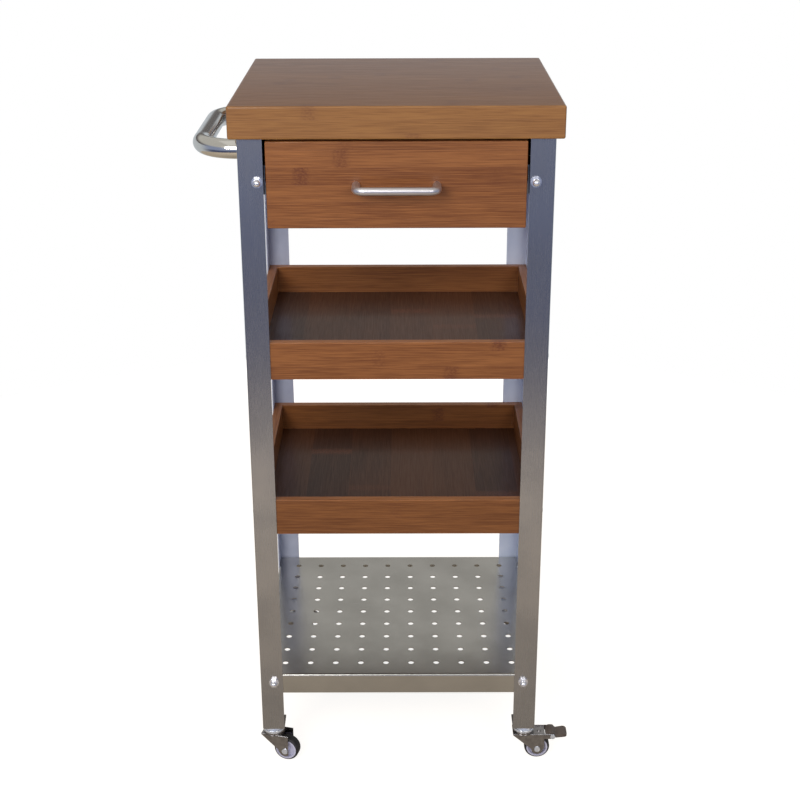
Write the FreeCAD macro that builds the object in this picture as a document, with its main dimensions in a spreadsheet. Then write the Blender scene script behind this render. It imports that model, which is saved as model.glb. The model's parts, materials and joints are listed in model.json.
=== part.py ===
"""A kitchen island cart: bamboo top, drawer and two trays in a frame of four steel angle legs, with a
perforated steel shelf, a push handle on the left side and four swivel casters, two of them with brakes.

Lengths are in millimetres. The formulas below are written in cart axes: X = 0 is the plane midway between
the left and right legs, Y = 0 is the front face of the front legs and Z = 0 is the floor. Every sub-part's
placement then adds FRAME_X and FRAME_Y, so the finished cart stands centred over the origin."""

import FreeCAD, Part
import os
import re
import Sketcher
from FreeCAD import Placement, Rotation, Vector

SIZES = {
    # overall
    "cart_width": 376,
    "cart_depth": 341,
    "cart_height": 914,
    # worktop
    "top_overhang": 9.5,
    "top_thick": 39,
    "top_round": 2.5,
    "top_screw_radius": 2,
    "top_screw_bite": 18,
    # legs and foot plates
    "leg_flange": 30,
    "leg_sheet": 1.5,
    "leg_bend": 2.2,
    "foot_plate_thick": 3,
    # side and rear rails under the worktop
    "rail_drop": 72,
    "rail_sheet": 1.5,
    "rail_flange": 22,
    "rail_tab_setback": 0.5,
    "rail_bolt_inset": 7.4,
    "rail_bolt_drop": 52.5,
    # bolts and cap nuts of the frame
    "bolt_radius": 3,
    "bolt_hole_gap": 0.2,
    "thread_gap": 0.05,
    "bolt_head_flats": 10,
    "bolt_head_thick": 4,
    "nut_washer_radius": 6.7,
    "nut_washer_thick": 1,
    "nut_flats": 10,
    "nut_hex_thick": 4.5,
    "nut_dome_radius": 4.6,
    "bolt_reach_in_nut": 6,
    # drawer
    "drawer_side_gap": 3,
    "drawer_top_gap": 4,
    "drawer_front_height": 105,
    "drawer_front_thick": 12,
    "drawer_front_round": 1.5,
    "drawer_rear_gap": 29,
    "drawer_box_rise": 10,
    "drawer_box_height": 80,
    "drawer_board": 9,
    "drawer_floor_rise": 6,
    "drawer_floor_thick": 4,
    "floor_rebate": 1,
    "groove_depth": 5,
    "groove_slack": 0.3,
    # drawer pull
    "pull_centres": 96,
    "pull_radius": 5,
    "pull_reach": 30,
    "pull_bend": 10,
    "pull_screw_radius": 2,
    "pull_screw_bite": 12,
    # drawer slides
    "slide_sheet": 1.2,
    "slide_drop": 46,
    "slide_width": 9.9,
    "slide_track_tall": 22,
    "slide_track_lip": 9,
    "slide_setback": 1,
    "slide_leg_gap": 0.1,
    "slide_gap": 0.3,
    "runner_screw_radius": 1.75,
    "runner_screw_bite": 7,
    "runner_screw_inset": 40,
    # trays
    "upper_tray_gap": 146.2,
    "lower_tray_gap": 168,
    "tray_height": 48.4,
    "tray_board": 12,
    "tray_edge_round": 1,
    "tray_floor_rise": 4.5,
    "tray_floor_thick": 6,
    "tray_screw_radius": 1.75,
    "tray_screw_bite": 9,
    # bottom shelf
    "shelf_top": 140,
    "shelf_lip": 29,
    "shelf_sheet": 1.2,
    "shelf_bend": 3,
    "shelf_hole_radius": 4,
    "shelf_hole_margin": 30.3,
    "shelf_columns": 10,
    "shelf_rows": 9,
    "shelf_bolt_inset": 18,
    "shelf_bolt_drop": 11.5,
    # push handle
    "handle_radius": 12,
    "handle_wall": 1.5,
    "handle_reach": 55,
    "handle_inset": 56.75,
    "handle_bend": 48.5,
    "handle_drop": 24.5,
    "handle_plug_length": 6,
    # pan heads of the wood screws
    "screw_head_radius": 3.5,
    "screw_head_thick": 2.2,
    "screw_crown_thick": 0.9,
    "screw_crown_radius": 2.4,
    "screw_recess_length": 3.4,
    "screw_recess_width": 0.8,
    "screw_recess_depth": 1.2,
    # casters
    "caster_inset": 14,
    "caster_trail": 19,
    "front_left_turn": 15,
    "stem_radius": 4,
    "stem_length": 13,
    "stem_nut_flats": 13,
    "stem_nut_thick": 6.5,
    "race_radius": 15,
    "race_neck_radius": 12,
    "race_rim_thick": 3.6,
    "race_round": 0.9,
    "race_gap": 0.3,
    "lower_race_thick": 3.4,
    "upper_race_thick": 7.6,
    "wheel_crown_gap": 5.2,
    "fork_width": 24,
    "fork_sheet": 1.5,
    "fork_fold": 1.2,
    "fork_lobe_radius": 8.2,
    "fork_tail": 5,
    "king_pin_radius": 3,
    "king_pin_head_radius": 5,
    "king_pin_head_thick": 2.3,
    "running_gap": 0.06,
    "wheel_radius": 17.5,
    "wheel_width": 15,
    "wheel_side_gap": 0.3,
    "tyre_round": 3.5,
    "tyre_thick": 2.9,
    "hub_rim_wall": 2.3,
    "hub_recess": 3.5,
    "hub_boss_radius": 5,
    "axle_radius": 2.5,
    "axle_head_radius": 4,
    "axle_head_thick": 1.2,
    # caster brake
    "brake_pin_ahead": 21,
    "brake_pin_drop": 3.8,
    "brake_pin_radius": 2,
    "brake_pin_head_radius": 3.4,
    "brake_arm_foot": 9.5,
    "pedal_side_gap": 0.5,
    "pedal_boss_radius": 4,
    "pedal_nose": 9.5,
    "pedal_sink": 2.9,
    "pedal_hump_rise": 5.5,
    "pedal_waist_rise": 1.3,
    "pedal_tip_rise": 3.1,
    "pedal_length": 20,
    "pedal_tip_under": -1.4,
    "pedal_round": 1.4,
    "pedal_corner": 4,
    "leaf_thick": 1,
    "leaf_start": 7,
    "leaf_pedal_gap": 1,
    "leaf_side_gap": 0.5,
    "leaf_rivet_radius": 2.5,
    "leaf_rivet_thick": 1.2,
}

doc = FreeCAD.newDocument("island_cart")
sheet = doc.addObject("Spreadsheet::Sheet", "dims")
for row, (alias, value) in enumerate(SIZES.items(), start=1):
    sheet.set(f"A{row}", alias)
    sheet.set(f"B{row}", str(value))
    sheet.setAlias(f"B{row}", alias)
doc.recompute()

# Lengths and heights that several pieces share, worked out from the sheet.
HALF = "(cart_width / 2)"
TOP_UNDERSIDE = "(cart_height - top_thick)"
LEG_INNER = f"({HALF} - leg_flange)"
INSIDE_LEG = f"({HALF} - leg_sheet)"
FOOT_PLATE = "(leg_flange - leg_sheet)"
TAB_INNER = f"({LEG_INNER} + rail_tab_setback)"
WHEEL_HALF_GAP = "(fork_width / 2 - fork_sheet)"
BRAKE_PIN_X = "(caster_trail + brake_pin_ahead)"
CROWN_UNDERSIDE = "(2 * wheel_radius + wheel_crown_gap)"
FORK_TOP = f"({CROWN_UNDERSIDE} + fork_sheet)"
UPPER_RACE_LOW = f"({FORK_TOP} + lower_race_thick + race_gap)"
CASTER_HEIGHT = f"({UPPER_RACE_LOW} + upper_race_thick)"
BRAKE_PIN_Z = f"({FORK_TOP} - brake_pin_drop)"
HUB_RADIUS = "(wheel_radius - tyre_thick)"
CASTER_X = f"({HALF} - caster_inset)"
RAIL_BOLT_Z = f"({TOP_UNDERSIDE} - rail_bolt_drop)"
HANDLE_Z = f"({TOP_UNDERSIDE} - handle_drop)"
SLIDE_Z = f"({TOP_UNDERSIDE} - slide_drop)"
DRAWER_FRONT_LOW = f"({TOP_UNDERSIDE} - drawer_top_gap - drawer_front_height)"
PULL_Z = f"({DRAWER_FRONT_LOW} + drawer_front_height / 2)"
UPPER_TRAY_LOW = f"({DRAWER_FRONT_LOW} - upper_tray_gap - tray_height)"
LOWER_TRAY_LOW = f"({UPPER_TRAY_LOW} - lower_tray_gap - tray_height)"

# The cart reaches furthest left at the push handle, right at a brake pedal, forward at the drawer pull and
# back at the worktop's rear edge.
HANDLE_FAR = f"({INSIDE_LEG} + handle_reach + handle_radius)"
PEDAL_FAR = f"({CASTER_X} + {BRAKE_PIN_X} + pedal_length)"
FRAME_X = f"(({HANDLE_FAR} - {PEDAL_FAR}) / 2)"
FRAME_Y = "((pull_reach + pull_radius - cart_depth - top_overhang) / 2)"

LEFT = ("left", -1)
RIGHT = ("right", 1)
FRONT = ("front", False)
REAR = ("rear", True)
CORNERS = [(end, side) for end in (FRONT, REAR) for side in (LEFT, RIGHT)]
BRAKED = {("front", "right"), ("rear", "left")}

# Turns that take a piece made along +Z to the direction named.
TOWARD = {
    "+x": Rotation(Vector(0, 1, 0), 90),
    "-x": Rotation(Vector(0, 1, 0), -90),
    "+y": Rotation(Vector(1, 0, 0), -90),
    "-y": Rotation(Vector(1, 0, 0), 90),
    "+z": Rotation(),
    "-z": Rotation(Vector(1, 0, 0), 180),
}
QUARTER_TURN = 90
HALF_TURN = 180

sub_parts = []


def formula(text):
    """Point every size named in a formula at its cell in the sheet."""

    def cell(word):
        return f"dims.{word.group()}" if word.group() in SIZES else word.group()

    return re.sub(r"[a-z_]+", cell, text)


def bind(thing, formulas):
    """Bind each property to its formula."""
    for name, text in formulas.items():
        thing.setExpression(name, formula(text))


def put(thing, at, turn=None):
    """Turn a piece and bind its position."""
    thing.Placement = Placement(Vector(), turn or Rotation())
    bind(thing, {f"Placement.Base.{axis}": text for axis, text in zip("xyz", at)})


def keep(thing, label, at=("0", "0", "0"), turn=None):
    """Name a finished sub-part and place it in the cart's frame."""
    thing.Label = label
    x, y, z = at
    put(thing, (f"{x} + {FRAME_X}", f"{y} + {FRAME_Y}", z), turn)
    sub_parts.append(thing)
    return thing


def mirrored(sign, inner, outer):
    """Lower X of a slab that lies from inner to outer off the centre plane, on the side that sign names."""
    return f"-({outer})" if sign < 0 else f"({inner})"


def from_end(rear, near, far):
    """Lower Y of a slab that lies from near to far behind the front face, or in front of the rear face."""
    return f"(cart_depth - ({far}))" if rear else f"({near})"


def at_side(sign, distance):
    """X of a point that far off the centre plane."""
    return f"-({distance})" if sign < 0 else f"({distance})"


def at_end(rear, distance):
    """Y of a point that far in from the front or the rear face."""
    return f"(cart_depth - ({distance}))" if rear else f"({distance})"


# ---------------------------------------------------------------- features of a body


def new_body(name):
    return doc.addObject("PartDesign::Body", name)


def origin_feature(body, role):
    return next(item for item in body.Origin.OriginFeatures if item.Role == role)


def block(body, name, size, at=("0", "0", "0"), cut=False):
    """A box in a body, added or cut away, from its lowest corner."""
    kind = "PartDesign::SubtractiveBox" if cut else "PartDesign::AdditiveBox"
    feature = body.newObject(kind, name)
    bind(feature, dict(zip(("Length", "Width", "Height"), size)))
    put(feature, at)
    doc.recompute()
    return feature


def drum(body, name, radius, length, at=("0", "0", "0"), toward="+z", cut=False):
    """A cylinder in a body, added or cut away, from the centre of its first end."""
    kind = "PartDesign::SubtractiveCylinder" if cut else "PartDesign::AdditiveCylinder"
    feature = body.newObject(kind, name)
    bind(feature, {"Radius": radius, "Height": length})
    put(feature, at, TOWARD[toward])
    doc.recompute()
    return feature


def cone(body, name, low_radius, high_radius, height, at):
    """A cone frustum standing in a body."""
    feature = body.newObject("PartDesign::AdditiveCone", name)
    bind(feature, {"Radius1": low_radius, "Radius2": high_radius, "Height": height})
    put(feature, at)
    doc.recompute()
    return feature


def profile(body, name, corners, width):
    """A prism in a body: a side outline in the XZ plane, padded to both sides of it."""
    outline = body.newObject("Sketcher::SketchObject", f"{name}_outline")
    outline.AttachmentSupport = (origin_feature(body, "XZ_Plane"), [""])
    outline.MapMode = "FlatFace"
    count = len(corners)
    for index in range(count):
        here = Vector(index, index * index, 0)
        after = Vector((index + 1) % count, ((index + 1) % count) ** 2, 0)
        outline.addGeometry(Part.LineSegment(here, after), False)
    for index, corner in enumerate(corners):
        outline.addConstraint(Sketcher.Constraint("Coincident", (index - 1) % count, 2, index, 1))
        for kind, axis, text in (("DistanceX", "x", corner[0]), ("DistanceY", "z", corner[1])):
            number = outline.addConstraint(Sketcher.Constraint(kind, -1, 1, index, 1, 1))
            outline.renameConstraint(number, f"{axis}_{index}")
            outline.setExpression(f"Constraints.{axis}_{index}", formula(text))
    doc.recompute()
    pad = body.newObject("PartDesign::Pad", name)
    pad.Profile = outline
    pad.Midplane = True
    bind(pad, {"Length": width})
    doc.recompute()
    return pad


def round_edges(body, name, radius, chosen):
    """A fillet on the edges of the body that the test chooses."""
    base = body.Tip
    names = [f"Edge{n}" for n, edge in enumerate(base.Shape.Edges, start=1) if chosen(edge)]
    feature = body.newObject("PartDesign::Fillet", name)
    feature.Base = (base, names)
    bind(feature, {"Radius": radius})
    doc.recompute()
    return feature


def runs_along(edge, axis):
    """True for a straight edge parallel to one axis, x, y or z."""
    box = edge.BoundBox
    lengths = {"x": box.XLength, "y": box.YLength, "z": box.ZLength}
    across = [length for name, length in lengths.items() if name != axis]
    return lengths[axis] > 1 and max(across) < 0.001


def level(edge, height):
    """True for an edge that lies wholly at one height."""
    return abs(edge.BoundBox.ZMin - height) < 0.01 and abs(edge.BoundBox.ZMax - height) < 0.01


# ---------------------------------------------------------------- loose primitives and fasteners


def solid_box(name, size, at):
    thing = doc.addObject("Part::Box", name)
    bind(thing, dict(zip(("Length", "Width", "Height"), size)))
    put(thing, at)
    return thing


def rod(name, radius, length, at=("0", "0", "0"), toward="+z"):
    thing = doc.addObject("Part::Cylinder", name)
    bind(thing, {"Radius": radius, "Height": length})
    put(thing, at, TOWARD[toward])
    return thing


def hexagon(name, flats, length, at=("0", "0", "0")):
    """A hexagonal prism along +Z, sized across its flats."""
    thing = doc.addObject("Part::Prism", name)
    thing.Polygon = 6
    bind(thing, {"Circumradius": f"{flats} / 2 / cos(30)", "Height": length})
    put(thing, at)
    return thing


def fused(name, pieces):
    thing = doc.addObject("Part::MultiFuse", name)
    thing.Shapes = pieces
    thing.Refine = True
    return thing


def cut_away(name, base, tool):
    thing = doc.addObject("Part::Cut", name)
    thing.Base = base
    thing.Tool = tool
    return thing


def group(name, pieces):
    thing = doc.addObject("Part::Compound", name)
    thing.Links = pieces
    return thing


def fastener(name, head, shank_radius, shank_length, at, toward):
    """A screw or bolt: the head stands behind the point at, and the shank runs from it the way it points."""
    shank = rod(f"{name}_shank", shank_radius, shank_length)
    thing = fused(name, [head, shank])
    put(thing, at, TOWARD[toward])
    return thing


def pan_screw(name, shank_radius, shank_length, at, toward):
    """A screw with a crowned head and a cross recess."""
    rim_thick = "(screw_head_thick - screw_crown_thick)"
    rim = rod(f"{name}_rim", "screw_head_radius", rim_thick, ("0", "0", f"-{rim_thick}"))
    crown = doc.addObject("Part::Cone", f"{name}_crown")
    crown_sizes = {
        "Radius1": "screw_crown_radius",
        "Radius2": "screw_head_radius",
        "Height": "screw_crown_thick",
    }
    bind(crown, crown_sizes)
    put(crown, ("0", "0", "-screw_head_thick"))
    slots = []
    for way, size_x, size_y in (
        ("long", "screw_recess_length", "screw_recess_width"),
        ("cross", "screw_recess_width", "screw_recess_length"),
    ):
        at_slot = (f"-{size_x} / 2", f"-{size_y} / 2", "-screw_head_thick")
        slots.append(solid_box(f"{name}_{way}_slot", (size_x, size_y, "screw_recess_depth"), at_slot))
    head = cut_away(f"{name}_head", fused(f"{name}_blank", [rim, crown]), fused(f"{name}_recess", slots))
    return fastener(name, head, shank_radius, shank_length, at, toward)


def hex_bolt(name, shank_length, at, toward):
    head = hexagon(f"{name}_head", "bolt_head_flats", "bolt_head_thick", ("0", "0", "-bolt_head_thick"))
    return fastener(name, head, "bolt_radius", shank_length, at, toward)


def cap_nut(name, at, toward):
    """A domed nut on a round washer face, with a blind thread for the bolt."""
    dome_base = "(nut_washer_thick + nut_hex_thick)"
    washer = rod(f"{name}_washer", "nut_washer_radius", "nut_washer_thick")
    body = hexagon(f"{name}_hexagon", "nut_flats", "nut_hex_thick", ("0", "0", "nut_washer_thick"))
    dome = doc.addObject("Part::Sphere", f"{name}_dome")
    bind(dome, {"Radius": "nut_dome_radius"})
    dome.Angle1 = 0
    put(dome, ("0", "0", dome_base))
    outside = fused(f"{name}_outside", [washer, body, dome])
    thread = rod(f"{name}_thread", "bolt_radius + thread_gap", "bolt_reach_in_nut + thread_gap")
    thing = cut_away(name, outside, thread)
    put(thing, at, TOWARD[toward])
    return thing


def bow(name, radius, centres, reach, bend):
    """A U-shaped bar: two posts rise along +Y to a bar along X, with round bends between them."""
    post_length = f"({reach} - {bend})"
    half = f"({centres} / 2)"
    bend_at = f"({half} - {bend})"
    pieces = [
        rod(f"{name}_left_post", radius, post_length, (f"-{half}", "0", "0"), "+y"),
        rod(f"{name}_right_post", radius, post_length, (half, "0", "0"), "+y"),
        rod(f"{name}_bar", radius, f"{centres} - 2 * {bend}", (f"-{bend_at}", reach, "0"), "+x"),
    ]
    for corner, x, start in (("right", bend_at, 0), ("left", f"-{bend_at}", QUARTER_TURN)):
        elbow = doc.addObject("Part::Torus", f"{name}_{corner}_bend")
        elbow.Angle3 = QUARTER_TURN
        bind(elbow, {"Radius1": bend, "Radius2": radius})
        put(elbow, (x, post_length, "0"), Rotation(Vector(0, 0, 1), start))
        pieces.append(elbow)
    return fused(name, pieces)


# ---------------------------------------------------------------- where the fasteners go


def top_screw_spots():
    """Worktop screws: two up through each side rail and two up through the rear rail."""
    spots = []
    for _, sign in (LEFT, RIGHT):
        flange_x = at_side(sign, f"{INSIDE_LEG} - rail_flange * 2 / 3")
        for _, rear in (FRONT, REAR):
            spots.append((flange_x, at_end(rear, "2 * leg_flange")))
        spots.append((at_side(sign, f"{LEG_INNER} * 2 / 3"), at_end(True, "leg_flange / 2")))
    return spots


BOLT_HOLE = "bolt_radius + bolt_hole_gap"
RAIL_BOLT_X = f"({LEG_INNER} + rail_bolt_inset)"
SHELF_BOLT_X = f"({HALF} - shelf_bolt_inset)"
SHELF_BOLT_Z = "(shelf_top - shelf_bolt_drop)"
TRAY_SCREW_Y = "((leg_sheet + tray_board + leg_flange) / 2)"
TRAYS = (("upper_tray", UPPER_TRAY_LOW), ("lower_tray", LOWER_TRAY_LOW))


def tray_screw_height(bottom):
    return f"({bottom} + tray_height / 2)"


# ---------------------------------------------------------------- sub-parts of the fixed frame


def top_board():
    """The solid bamboo worktop, eased on every edge, with pilot holes for the screws from below."""
    body = new_body("top_board")
    width = "(cart_width + 2 * top_overhang)"
    depth = "(cart_depth + 2 * top_overhang)"
    block(body, "top_slab", (width, depth, "top_thick"), (f"-{width} / 2", "-top_overhang", TOP_UNDERSIDE))
    round_edges(body, "top_easing", "top_round", lambda edge: True)
    for number, (x, y) in enumerate(top_screw_spots()):
        drum(body, f"pilot_{number}", "top_screw_radius", "top_screw_bite", (x, y, TOP_UNDERSIDE), cut=True)
    keep(body, "top_board")


def leg(end, side):
    """A folded steel angle: one flange faces the front or rear, the other faces sideways."""
    (end_name, rear), (side_name, sign) = end, side
    body = new_body(f"leg_{end_name}_{side_name}")
    length = f"{TOP_UNDERSIDE} - {CASTER_HEIGHT}"
    face_at = (mirrored(sign, LEG_INNER, HALF), from_end(rear, "0", "leg_sheet"), CASTER_HEIGHT)
    cheek_at = (mirrored(sign, INSIDE_LEG, HALF), from_end(rear, "0", "leg_flange"), CASTER_HEIGHT)
    block(body, "face_flange", ("leg_flange", "leg_sheet", length), face_at)
    block(body, "side_flange", ("leg_sheet", "leg_flange", length), cheek_at)
    outer_x = sign * SIZES["cart_width"] / 2
    outer_y = SIZES["cart_depth"] if rear else 0

    def outer(edge):
        box = edge.BoundBox
        return runs_along(edge, "z") and abs(box.XMin - outer_x) < 0.01 and abs(box.YMin - outer_y) < 0.01

    round_edges(body, "outer_fold", "leg_bend", outer)
    for name, x, z in (("rail", RAIL_BOLT_X, RAIL_BOLT_Z), ("shelf", SHELF_BOLT_X, SHELF_BOLT_Z)):
        start = (at_side(sign, x), from_end(rear, "-leg_sheet", "2 * leg_sheet"), z)
        drum(body, f"{name}_bolt_hole", BOLT_HOLE, "3 * leg_sheet", start, "+y", cut=True)
    for name, bottom in TRAYS:
        start = (
            mirrored(sign, f"{HALF} - 2 * leg_sheet", f"{HALF} + leg_sheet"),
            at_end(rear, TRAY_SCREW_Y),
            tray_screw_height(bottom),
        )
        drum(body, f"{name}_screw_hole", "tray_screw_radius", "3 * leg_sheet", start, "+x", cut=True)
    keep(body, f"leg_{end_name}_{side_name}")


def foot_plates():
    """Four plates welded inside the feet of the legs, which the caster stems pass through."""
    plates = []
    for (end_name, rear), (side_name, sign) in CORNERS:
        name = f"foot_plate_{end_name}_{side_name}"
        inner = f"{INSIDE_LEG} - {FOOT_PLATE}"
        at = (
            mirrored(sign, inner, INSIDE_LEG),
            from_end(rear, "leg_sheet", f"leg_sheet + {FOOT_PLATE}"),
            CASTER_HEIGHT,
        )
        plate = solid_box(f"{name}_blank", (FOOT_PLATE, FOOT_PLATE, "foot_plate_thick"), at)
        centre = (at_side(sign, CASTER_X), at_end(rear, "caster_inset"), CASTER_HEIGHT)
        hole = rod(f"{name}_hole", "stem_radius + thread_gap", "foot_plate_thick", centre)
        plates.append(cut_away(name, plate, hole))
    keep(group("foot_plates", plates), "foot_plates")


def side_rail(side):
    """A folded channel along one side, under the worktop, with a tab behind each leg's face flange."""
    side_name, sign = side
    body = new_body(f"side_rail_{side_name}")
    low = f"({TOP_UNDERSIDE} - rail_drop)"
    front = "leg_sheet"
    length = "(cart_depth - 2 * leg_sheet)"
    web_inner = f"({INSIDE_LEG} - rail_sheet)"
    flange_inner = f"({INSIDE_LEG} - rail_flange)"
    shelf_front = "(leg_sheet + rail_sheet)"
    shelf_length = "(cart_depth - 2 * leg_sheet - 3 * rail_sheet)"
    web_at = (mirrored(sign, web_inner, INSIDE_LEG), front, low)
    block(body, "web", ("rail_sheet", length, "rail_drop"), web_at)
    for name, z in (("bottom_flange", low), ("top_flange", f"({TOP_UNDERSIDE} - rail_sheet)")):
        at = (mirrored(sign, flange_inner, INSIDE_LEG), shelf_front, z)
        block(body, name, ("rail_flange", shelf_length, "rail_sheet"), at)
    for name, rear in (FRONT, REAR):
        at = (
            mirrored(sign, TAB_INNER, INSIDE_LEG),
            from_end(rear, "leg_sheet", "leg_sheet + rail_sheet"),
            low,
        )
        block(body, f"{name}_tab", (f"{INSIDE_LEG} - {TAB_INNER}", "rail_sheet", "rail_drop"), at)
        bolt_at = (at_side(sign, RAIL_BOLT_X), from_end(rear, "0", "3 * rail_sheet"), RAIL_BOLT_Z)
        drum(body, f"{name}_bolt_hole", BOLT_HOLE, "3 * rail_sheet", bolt_at, "+y", cut=True)
    if sign < 0:
        for name, y in HANDLE_BOLTS:
            at = (f"-{HALF}", y, HANDLE_Z)
            drum(body, f"{name}_handle_hole", BOLT_HOLE, "3 * rail_sheet", at, "+x", cut=True)
    for number, (x, y) in enumerate(top_screw_spots()):
        if number // 3 == (0 if sign < 0 else 1) and number % 3 < 2:
            at = (x, y, f"{TOP_UNDERSIDE} - 2 * rail_sheet")
            drum(body, f"top_screw_hole_{number}", "top_screw_radius", "3 * rail_sheet", at, cut=True)
    keep(body, f"side_rail_{side_name}")


def rear_rail():
    """A folded plate across the back, behind the drawer, bolted to the rear legs over the rails' tabs."""
    body = new_body("rear_rail")
    low = f"({TOP_UNDERSIDE} - rail_drop)"
    half = f"({INSIDE_LEG} - rail_sheet)"
    plate_back = "(cart_depth - leg_sheet - rail_sheet)"
    plate_front = f"({plate_back} - rail_sheet)"
    block(body, "plate", (f"2 * {half}", "rail_sheet", "rail_drop"), (f"-{half}", plate_front, low))
    for name, z in (("bottom_flange", low), ("top_flange", f"({TOP_UNDERSIDE} - rail_sheet)")):
        at = (f"-{TAB_INNER}", f"{plate_back} - rail_flange", z)
        block(body, name, (f"2 * {TAB_INNER}", "rail_flange", "rail_sheet"), at)
    for name, sign in (LEFT, RIGHT):
        at = (at_side(sign, RAIL_BOLT_X), f"{plate_front} - rail_sheet", RAIL_BOLT_Z)
        drum(body, f"{name}_bolt_hole", BOLT_HOLE, "3 * rail_sheet", at, "+y", cut=True)
    for number, (x, y) in enumerate(top_screw_spots()):
        if number % 3 == 2:
            at = (x, y, f"{TOP_UNDERSIDE} - 2 * rail_sheet")
            drum(body, f"top_screw_hole_{number}", "top_screw_radius", "3 * rail_sheet", at, cut=True)
    keep(body, "rear_rail")


SLIDE_WEB_OUTER = f"({LEG_INNER} + slide_leg_gap)"
SLIDE_WEB_INNER = f"({SLIDE_WEB_OUTER} - slide_sheet)"
SLIDE_FRONT = "(drawer_front_thick + slide_setback)"
SLIDE_BACK = "(cart_depth - leg_sheet - 3 * rail_sheet)"
DRAWER_BOX_HALF = f"({SLIDE_WEB_INNER} - slide_width)"
RAIL_SHELF = f"({TOP_UNDERSIDE} - rail_drop + rail_sheet)"


def slide_track(side):
    """The fixed half of a drawer slide: a C channel facing the drawer, on a foot welded to the side rail."""
    side_name, sign = side
    body = new_body(f"slide_track_{side_name}")
    length = f"({SLIDE_BACK} - {SLIDE_FRONT})"
    top = f"({SLIDE_Z} + slide_track_tall / 2)"
    foot_outer = f"({INSIDE_LEG} - 2 * rail_sheet)"
    web_at = (mirrored(sign, SLIDE_WEB_INNER, SLIDE_WEB_OUTER), SLIDE_FRONT, RAIL_SHELF)
    block(body, "web", ("slide_sheet", length, f"{top} - {RAIL_SHELF}"), web_at)
    foot_width = f"({foot_outer} - {SLIDE_WEB_INNER})"
    foot_at = (mirrored(sign, SLIDE_WEB_INNER, foot_outer), SLIDE_FRONT, RAIL_SHELF)
    block(body, "foot", (foot_width, length, "slide_sheet"), foot_at)
    lips = (("lower_lip", f"({SLIDE_Z} - slide_track_tall / 2)"), ("upper_lip", f"({top} - slide_sheet)"))
    for name, z in lips:
        at = (mirrored(sign, f"{SLIDE_WEB_OUTER} - slide_track_lip", SLIDE_WEB_OUTER), SLIDE_FRONT, z)
        block(body, name, ("slide_track_lip", length, "slide_sheet"), at)
    keep(body, f"slide_track_{side_name}")


TRAY_TONGUE = "(tray_floor_thick - floor_rebate)"
DRAWER_TONGUE = "(drawer_floor_thick - floor_rebate)"


def tray_boards(name, bottom):
    """A tray's front, back and side boards: the side boards butt between the other two, and a groove round
    the inside holds the floor."""
    width = f"(2 * {INSIDE_LEG})"
    side_length = "(cart_depth - 2 * leg_sheet - 2 * tray_board)"
    groove_z = f"({bottom} + tray_floor_rise)"
    groove_half = f"({INSIDE_LEG} - tray_board + groove_depth)"
    inside_front = "(leg_sheet + tray_board)"
    for board, rear in (("front", False), ("back", True)):
        body = new_body(f"{name}_{board}")
        at = (f"-{INSIDE_LEG}", from_end(rear, "leg_sheet", inside_front), bottom)
        block(body, "board", (width, "tray_board", "tray_height"), at)
        ease_top(body, "x")
        groove_at = (
            f"-{groove_half}",
            from_end(rear, f"{inside_front} - groove_depth", inside_front),
            groove_z,
        )
        block(body, "groove", (f"2 * {groove_half}", "groove_depth", TRAY_TONGUE), groove_at, cut=True)
        keep(body, f"{name}_{board}")
    for board, sign in (LEFT, RIGHT):
        body = new_body(f"{name}_{board}")
        inner = f"({INSIDE_LEG} - tray_board)"
        at = (mirrored(sign, inner, INSIDE_LEG), inside_front, bottom)
        block(body, "board", ("tray_board", side_length, "tray_height"), at)
        ease_top(body, "y")
        groove_at = (mirrored(sign, inner, f"{inner} + groove_depth"), inside_front, groove_z)
        block(body, "groove", ("groove_depth", side_length, TRAY_TONGUE), groove_at, cut=True)
        for end, rear in (FRONT, REAR):
            start = (
                mirrored(sign, f"{INSIDE_LEG} - tray_screw_bite", INSIDE_LEG),
                at_end(rear, TRAY_SCREW_Y),
                tray_screw_height(bottom),
            )
            drum(body, f"{end}_pilot", "tray_screw_radius", "tray_screw_bite", start, "+x", cut=True)
        keep(body, f"{name}_{board}")


def ease_top(body, axis):
    """Ease the two long upper edges of a tray board."""
    top = body.Tip.Shape.BoundBox.ZMax
    round_edges(body, "easing", "tray_edge_round", lambda edge: runs_along(edge, axis) and level(edge, top))


def floor_panel(name, width, length, tongue, thick, at):
    """A floor rebated all round its upper edge, so that its tongue fills the grooves and its upper face
    stops just short of the boards."""
    body = new_body(name)
    block(body, "tongue", (width, length, tongue))
    field = (f"{width} - 2 * groove_depth", f"{length} - 2 * groove_depth", thick)
    block(body, "field", field, ("groove_depth", "groove_depth", "0"))
    keep(body, name, at)


def tray_floor(name, bottom):
    """A tray's floor panel, let into the grooves of the four boards."""
    half = f"({INSIDE_LEG} - tray_board + groove_depth - groove_slack)"
    inset = "(leg_sheet + tray_board - groove_depth + groove_slack)"
    at = (f"-{half}", inset, f"({bottom} + tray_floor_rise)")
    length = f"(cart_depth - 2 * {inset})"
    floor_panel(f"{name}_floor", f"2 * {half}", length, TRAY_TONGUE, "tray_floor_thick", at)


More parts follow.
